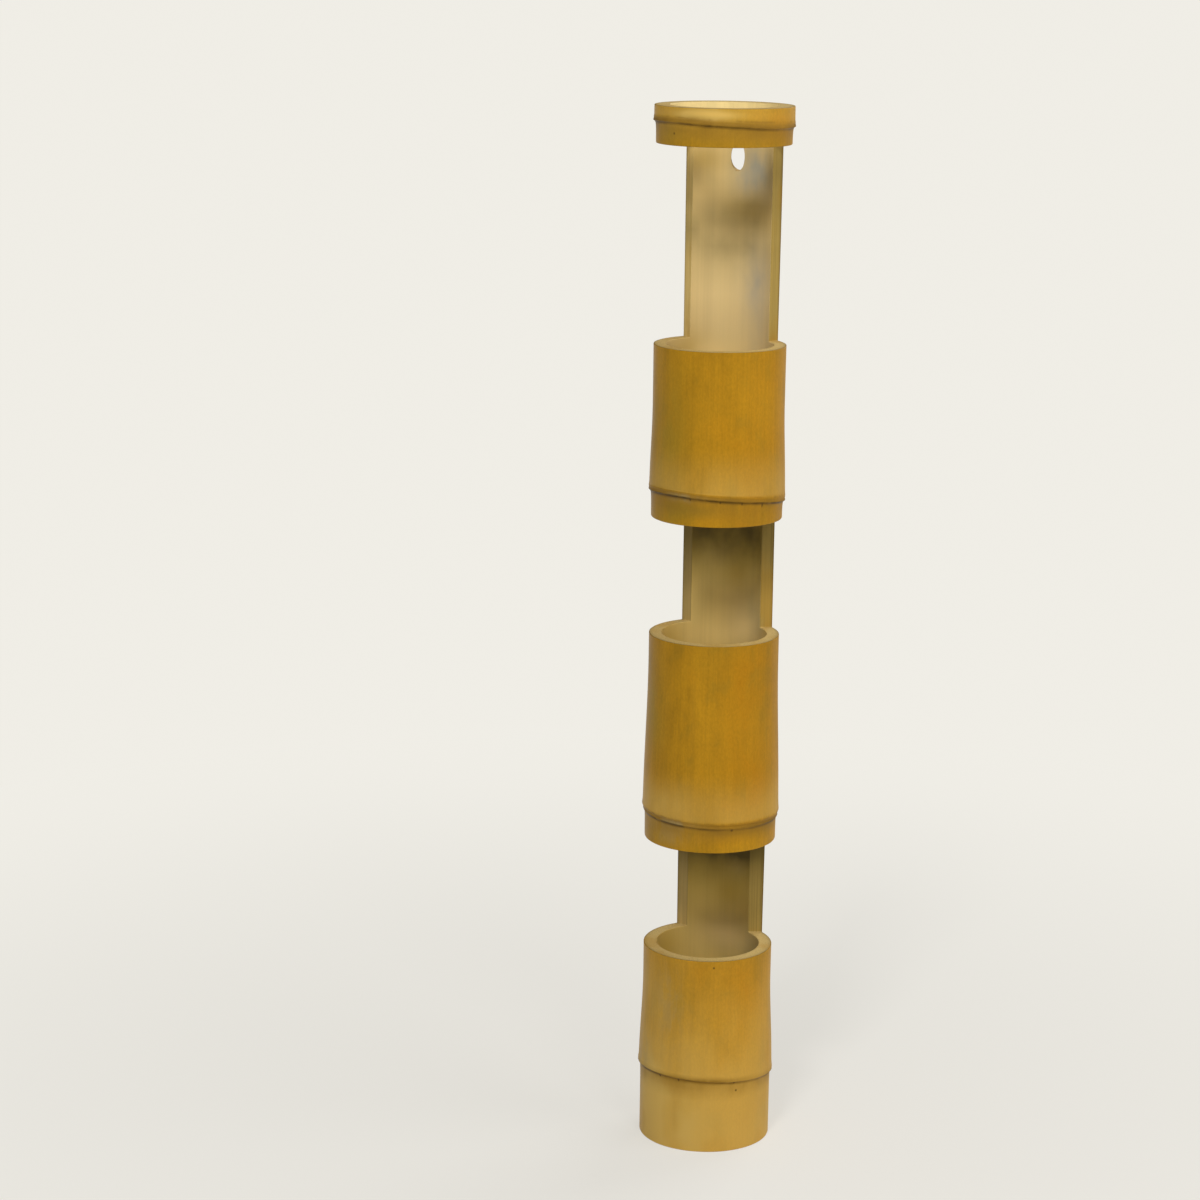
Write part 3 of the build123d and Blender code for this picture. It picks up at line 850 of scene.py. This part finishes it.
def bore_material(look):
    """The smooth pale inside of the culm: upright streaks, clouds and water stains, with painted shade
    that makes it browner towards the top of each window and painted light that makes it brightest
    in the ring. Patches lay painted shadow, painted light and painted tints of light and shade on
    its two sides."""
    m = Shader("bamboo_bore")
    fibre = m.noise(760, 6, 3, 0.6)
    streak = m.noise(130, 3, 3)
    cloud = m.noise(30, 16, 4, 0.6, (0.0, 4.0, 0.0))
    tone = m.plus(m.times(fibre, 0.3), m.times(streak, 0.7))
    m.shades(tone, look.bore, (0.36, 0.93), (0.5, 1.0), (0.64, 1.05))
    # Grey water marks and painted cool shade on the right of the bore
    m.lay(m.times(m.field("grey"), m.rise(cloud, 0.34, 0.62, 0.55, 1.2)), look.grey)
    # Painted shade and light by height: darker at the foot and towards the top of the lower and middle
    # windows, lighter and cooler low in the upper window and at the top of the ring
    painted_shade = (0.8, 0.76, 0.36)
    dark = scaled(painted_shade, 0.6)
    m.tint(m.ramp(m.height(), (0.0, painted_shade), (0.19, (0.86, 0.82, 0.62)), (0.275, painted_shade), (0.33, dark),
                  (0.49, (0.98, 0.95, 0.8)), (0.54, (0.96, 0.94, 0.72)), (0.585, painted_shade), (0.64, dark),
                  (0.76, (1.02, 1.04, 1.16)), (0.82, (1.14, 1.16, 1.3)), (0.86, (1.0, 1.01, 1.08)),
                  (0.89, 1.0), (0.965, 1.0), (0.985, (1.18, 1.27, 1.45))))
    # Painted light of a warmer colour on the left inner sides of the bore
    m.lay(m.field("warm_and_lit"), look.painted_warm_light)
    # Greener tint as painted shade near the top of the windows
    m.lay(m.field("olive_and_shade"), look.olive_and_shade)
    # Painted light on shaded parts of the bore
    m.lay(m.field("painted_light"), look.bore, 1.2)
    # Water stains and painted shadow under each section and in the ring's shadow
    m.lay(m.times(m.field("stain_and_shadow"), m.rise(cloud, 0.3, 0.6, 0.75, 1.12)), look.stain_and_shadow)
    m.bump(fibre, 0.2, 0.0001)
    return m.finish(m.rise(streak, 0.3, 0.7, 0.46, 0.58), Specular_IOR_Level=0.14)


def floor_material(look):
    """The natural wall across a node: pithy, paler in the middle, with a wavy ring of water staining."""
    m = Shader("bamboo_node_wall")
    pith = m.noise(260, 260, 4, 0.65)
    cloud = m.noise(40, 40, 3, 0.6)
    tone = m.plus(m.times(pith, 0.5), m.times(cloud, 0.5))
    m.shades(tone, look.bore, (0.36, 0.5), (0.5, 0.78), (0.66, 1.0))
    wavy = m.plus(m.distance(1.0, 0.0), m.times(cloud, 0.012))
    m.lay(m.rise(wavy, 0.024, 0.034, 0.0, 0.6), look.stain_and_shadow)
    m.bump(pith, 0.5, 0.0004)
    return m.finish(0.72)


def copper_material(look):
    """Copper sheet gone dull brown: a clouded patina, brighter where it is rubbed, green drips and
    fine marks round it from rolling."""
    m = Shader("liner_copper_sheet")
    patina = m.noise(55, 40, 5, 0.62)
    marks = m.noise(60, 1600, 2, 0.6)
    m.shades(patina, look.copper, (0.34, 0.36), (0.48, 0.7), (0.62, 1.0))
    m.lay(m.rise(m.noise(170, 18, 3), 0.56, 0.7, 0.0, 0.35), look.verdigris)
    m.bump(m.plus(marks, patina), 0.18, 0.0001)
    return m.finish(m.rise(patina, 0.34, 0.66, 0.52, 0.32), Metallic=1.0)


def solder_material(look):
    """Copper base with the grey tin solder that runs round its edge."""
    m = Shader("liner_copper_base")
    patina = m.noise(70, 70, 5, 0.62)
    m.shades(patina, look.copper, (0.34, 0.34), (0.5, 0.62), (0.66, 0.9))
    edge = m.plus(m.distance(1.0, 0.0), m.times(m.noise(240, 240), 0.002))
    m.lay(m.rise(edge, 0.0236, 0.0246, 0.0, 0.9), look.solder)
    m.bump(patina, 0.3, 0.00015)
    return m.finish(m.rise(patina, 0.34, 0.66, 0.56, 0.36), Metallic=1.0)


def stage_material(look):
    """A plain pale floor that fades away from the vase into an even pale glow, for the camera and
    in gloss only, so that the background has no edge and lights nothing."""
    m = Shader("pale_floor")
    path = m.add("LightPath", {}).outputs
    seen = m.math("MAXIMUM", path["Is Camera Ray"], path["Is Glossy Ray"], path["Is Transmission Ray"])
    m.colour = rgba(look.floor)
    floor = m.finish(0.85, Specular_IOR_Level=0.1)
    glow = m.add("Emission", {"Color": rgba(look.glow), "Strength": 1.0}).outputs[0]
    share = m.times(seen, m.rise(m.distance(1.0, 1.0), 0.05, 0.9, 0.6, 1.0))
    mixed = m.add("MixShader", {0: share, 1: m.surface.outputs[0], 2: glow}).outputs[0]
    m.put(m.tree.nodes["Material Output"].inputs["Surface"], mixed)
    return floor


def place_object(name, data):
    """A new object in the scene, at the origin."""
    placed = bpy.data.objects.new(name, data)
    bpy.context.scene.collection.objects.link(placed)
    return placed


def show(mesh, name, materials, crease_deg):
    """Put a finished mesh into the scene with its materials, smooth but for its crisp edges."""
    piece = place_object(name, mesh)
    for material in materials:
        mesh.materials.append(material)
    mesh.shade_smooth()
    mesh.set_sharp_from_angle(angle=math.radians(crease_deg))
    mesh.validate()
    return piece


def paint(name, description, default):
    """A colour that a user would change."""
    return FloatVectorProperty(name=name, description=description, default=default, size=3,
                               min=0.0, max=1.0, subtype="COLOR")


def watts(name, description, default):
    """The power of a lamp."""
    return FloatProperty(name=name, description=description, default=default, min=0.0,
                         subtype="POWER", unit="POWER")


def metres(name, description, default, low):
    """A length of the stage."""
    return FloatProperty(name=name, description=description, default=default, min=low,
                         subtype="DISTANCE", unit="LENGTH")


class BambooCulmLook(bpy.types.PropertyGroup):
    """Sizes and colours of the culm that a user would change."""
    skin: paint("Skin", "Seasoned golden bamboo skin", (0.535, 0.27, 0.011))
    # Laid as orange patches, and as painted light on the skin's right side
    warm_and_lit: paint("Warm patches", "Orange gold patches of the skin", (0.56, 0.252, 0.007))
    # Laid as greener patches, and as painted shade on the skin's left side and in the windows
    olive_and_shade: paint("Olive patches", "Patches that stayed greener", (0.42, 0.255, 0.02))
    # Laid as painted light and highlights: the paler foot, the skin just above each node and the ring's
    # collar
    painted_light_skin: paint("Waxy skin", "Paler skin at the foot and over the nodes", (0.64, 0.42, 0.105))
    # Also laid as painted shade round each node
    band: paint("Node band", "Ochre band of each node", (0.265, 0.142, 0.016))
    scar: paint("Node scar", "Dark scar lines, dots and short cracks", (0.078, 0.043, 0.006))
    bloom: paint("Grey bloom", "Grey bloom on the skin", (0.36, 0.3, 0.15))
    # Laid as grey water marks and as painted cool shade on the right of the bore
    grey: paint("Grey water marks", "Greyer side of the bore", (0.4, 0.37, 0.28))
    sawn: paint("Sawn faces", "Pale rims and cut faces", (0.63, 0.452, 0.165))
    # Painted light and shade of the upright cuts, by the side that they face
    left: paint("Left cuts", "Tint of the left upright cuts", (0.86, 0.86, 0.84))
    right: paint("Right cuts", "Tint of the right upright cuts", (0.73, 0.7, 0.5))
    bore: paint("Inside", "Pale inside of the culm", (0.77, 0.57, 0.235))
    # Laid as water stains, and as painted shadow in the windows
    stain_and_shadow: paint("Stains", "Water stains inside the culm", (0.11, 0.078, 0.016))
    # Painted light of a warmer colour on the left inner sides of the bore
    painted_warm_light: paint("Amber sides", "Warmer left side of the bore", (0.52, 0.34, 0.07))
    rim_ease: FloatProperty(name="Rim ease", description="How far the sawn edges are rounded over",
                            default=0.0004, min=0.0, max=0.001, precision=5, unit="LENGTH")


class BambooLinerLook(bpy.types.PropertyGroup):
    """Colours of the water liners that a user would change."""
    copper: paint("Copper", "Copper sheet where it is rubbed", (0.48, 0.2, 0.11))
    verdigris: paint("Verdigris", "Green drip marks on the copper", (0.15, 0.22, 0.16))
    solder: paint("Solder", "Tin solder round the base", (0.3, 0.29, 0.27))


class BambooStageLook(bpy.types.PropertyGroup):
    """Floor, light and camera of the studio."""
    floor: paint("Floor", "Plain pale floor", (0.83, 0.82, 0.785))
    glow: paint("Background", "Even pale background", (0.87, 0.85, 0.79))
    key_power: watts("Key light", "Power of the small lamp at the upper left", 20.0)
    fill_power: watts("Fill light", "Power of the low soft lamp in front, at the right", 8.0)
    side_power: watts("Side light", "Power of the large soft lamp at the right", 13.0)
    back_power: watts("Back light", "Power of the large soft lamp behind, at the right", 16.0)
    sky_strength: FloatProperty(name="Room light", description="Strength of the even light all round",
                                default=0.21, min=0.0, max=3.0, subtype="FACTOR")
    camera_distance: metres("Camera distance", "Level distance from the vase's axis", 1.72, 0.5)
    camera_height: metres("Camera height", "Height of the camera over the floor", 0.701, 0.0)
    camera_lens: FloatProperty(name="Lens", description="Focal length in millimetres on a 36 mm sensor",
                               default=92.52, min=10.0)


class BAMBOO_OT_culm(bpy.types.Operator):
    """Build the culm, one length of bamboo with its windows, nodes and hanging hole"""
    bl_idname = "bamboo.culm"
    bl_label = "Bamboo Culm"

    def execute(self, context):
        look = context.scene.bamboo_culm
        materials = [skin_material(look), sawn_material(look), bore_material(look), floor_material(look)]
        culm = show(culm_mesh(), "culm_visual", materials, 50.0)
        ease = culm.modifiers.new("eased_edges", "BEVEL")
        ease.width = look.rim_ease
        ease.segments = 2
        ease.limit_method = "ANGLE"
        ease.angle_limit = math.radians(62.0)
        ease.use_clamp_overlap = True
        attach(culm, "vase")
        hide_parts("culm")
        return {"FINISHED"}


def place_liner_parts(part, mesh_of, material):
    """Put one part of every water liner into the scene: its walls or its bases."""
    for tier, liner in LINERS.items():
        name = f"{tier}_liner_{part}_visual"
        piece = show(mesh_of(name, liner), name, [material], 40.0)
        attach(piece, f"{tier}_liner")
        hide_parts(f"{tier}_liner_{part}")


class BAMBOO_OT_liner_walls(bpy.types.Operator):
    """Build the rolled copper walls of the three water liners"""
    bl_idname = "bamboo.liner_walls"
    bl_label = "Liner Walls"

    def execute(self, context):
        place_liner_parts("wall", liner_wall_mesh, copper_material(context.scene.bamboo_liner))
        return {"FINISHED"}


class BAMBOO_OT_liner_bases(bpy.types.Operator):
    """Build the soldered bases of the three water liners"""
    bl_idname = "bamboo.liner_bases"
    bl_label = "Liner Bases"

    def execute(self, context):
        place_liner_parts("base", liner_base_mesh, solder_material(context.scene.bamboo_liner))
        return {"FINISHED"}


def outward(azimuth_deg, rise_deg):
    """Unit vector away from the vase. An azimuth of 0 is in front of it, and 90 at its right."""
    a, rise = math.radians(azimuth_deg), math.radians(rise_deg)
    return Vector((math.sin(a) * math.cos(rise), -math.cos(a) * math.cos(rise), math.sin(rise)))


def lamp(name, azimuth_deg, rise_deg, size, power, colour):
    """A square soft lamp on a sphere round the middle of the vase, turned to face it."""
    light = bpy.data.lights.new(name, "AREA")
    light.size = size
    light.energy = power
    light.color = colour
    holder = place_object(name, light)
    out = outward(azimuth_deg, rise_deg)
    holder.location = Vector((0.0, 0.0, LAMP_AIM_Z)) + out * LAMP_REACH
    holder.rotation_euler = out.to_track_quat("Z", "Y").to_euler()


def room_world(look):
    """Even soft light all round, seen by the camera itself as the pale background."""
    world = bpy.data.worlds.new("room")
    world.use_nodes = True
    nodes = Nodes(world.node_tree)
    sky = nodes.tree.nodes["Background"]
    nodes.put(sky.inputs["Color"], (1.0, 0.985, 0.955, 1.0))
    nodes.put(sky.inputs["Strength"], look.sky_strength)
    glow = nodes.add("Background", {"Color": rgba(look.glow)})
    seen = nodes.add("LightPath", {}).outputs["Is Camera Ray"]
    mixed = nodes.add("MixShader", {0: seen, 1: sky.outputs[0], 2: glow.outputs[0]})
    nodes.put(nodes.tree.nodes["World Output"].inputs["Surface"], mixed.outputs[0])
    return world


def photo_camera(look):
    """The photograph's camera: beside the vase, turned to its azimuth, then down, then rolled."""
    camera = place_object("photo_camera", bpy.data.cameras.new("photo_camera"))
    place = outward(CAMERA_AZIMUTH, 0.0) * look.camera_distance
    pose = Matrix.Translation((place.x, place.y, look.camera_height))
    turns = ((CAMERA_AZIMUTH + CAMERA_YAW, "Z"), (90.0 - CAMERA_DOWN, "X"), (CAMERA_ROLL, "Z"))
    for degrees, axis in turns:
        pose @= Matrix.Rotation(math.radians(degrees), 4, axis)
    camera.matrix_world = pose
    camera.data.lens = look.camera_lens
    camera.data.sensor_width = 36.0
    camera.data.clip_end = 200.0
    return camera


class BAMBOO_OT_stage(bpy.types.Operator):
    """Lay the pale floor, hang the lamps and set up the camera at the photograph's angle"""
    bl_idname = "bamboo.stage"
    bl_label = "Stage"

    def execute(self, context):
        look = context.scene.bamboo_stage
        scene = context.scene
        corners = np.array([(-1, -1, 0), (1, -1, 0), (1, 1, 0), (-1, 1, 0)]) * FLOOR_REACH
        mesh = new_mesh("floor", corners, np.array([[0, 1, 2, 3]]))
        show(mesh, "floor", [stage_material(look)], 30.0)
        scene.camera = photo_camera(look)
        for name, size, power, side_deg, rise_deg, colour in (
                ("key_lamp", 0.36, look.key_power, -15.0, 43.0, (1.0, 0.98, 0.95)),
                ("fill_lamp", 0.6, look.fill_power, 22.0, 26.0, (1.0, 0.98, 0.94)),
                ("side_lamp", 1.6, look.side_power, 72.0, 22.0, (1.0, 0.98, 0.94)),
                ("back_lamp", 1.4, look.back_power, 145.0, 34.0, (1.0, 0.99, 0.97))):
            lamp(name, side_deg + CAMERA_AZIMUTH, rise_deg, size, power, colour)
        scene.world = room_world(look)
        scene.view_settings.view_transform = "Standard"
        return {"FINISHED"}


class BAMBOO_PT_panel(bpy.types.Panel):
    """Lists the vase's pieces, its colours and the stage"""
    bl_idname = "BAMBOO_PT_panel"
    bl_label = "Bamboo Vase"
    bl_space_type = "VIEW_3D"
    bl_region_type = "UI"
    bl_category = "Bamboo Vase"

    def draw(self, context):
        scene = context.scene
        for title, look, names in (
                ("Culm", scene.bamboo_culm, ("bamboo.culm",)),
                ("Liners", scene.bamboo_liner, ("bamboo.liner_walls", "bamboo.liner_bases")),
                ("Stage", scene.bamboo_stage, ("bamboo.stage",))):
            box = self.layout.box()
            box.label(text=title)
            for key in look.__annotations__:
                box.prop(look, key)
            for name in names:
                box.operator(name)


LOOKS = {"bamboo_culm": BambooCulmLook, "bamboo_liner": BambooLinerLook, "bamboo_stage": BambooStageLook}
CLASSES = (*LOOKS.values(), BAMBOO_OT_culm, BAMBOO_OT_liner_walls, BAMBOO_OT_liner_bases,
           BAMBOO_OT_stage, BAMBOO_PT_panel)


def register():
    for each in CLASSES:
        bpy.utils.register_class(each)
    for name, look in LOOKS.items():
        setattr(bpy.types.Scene, name, PointerProperty(type=look))


def unregister():
    for name in LOOKS:
        delattr(bpy.types.Scene, name)
    for each in reversed(CLASSES):
        bpy.utils.unregister_class(each)


def main():
    """Register the classes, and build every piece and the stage."""
    register()
    bpy.ops.bamboo.stage()
    bpy.ops.bamboo.culm()
    bpy.ops.bamboo.liner_walls()
    bpy.ops.bamboo.liner_bases()


if __name__ == "__main__":
    main()
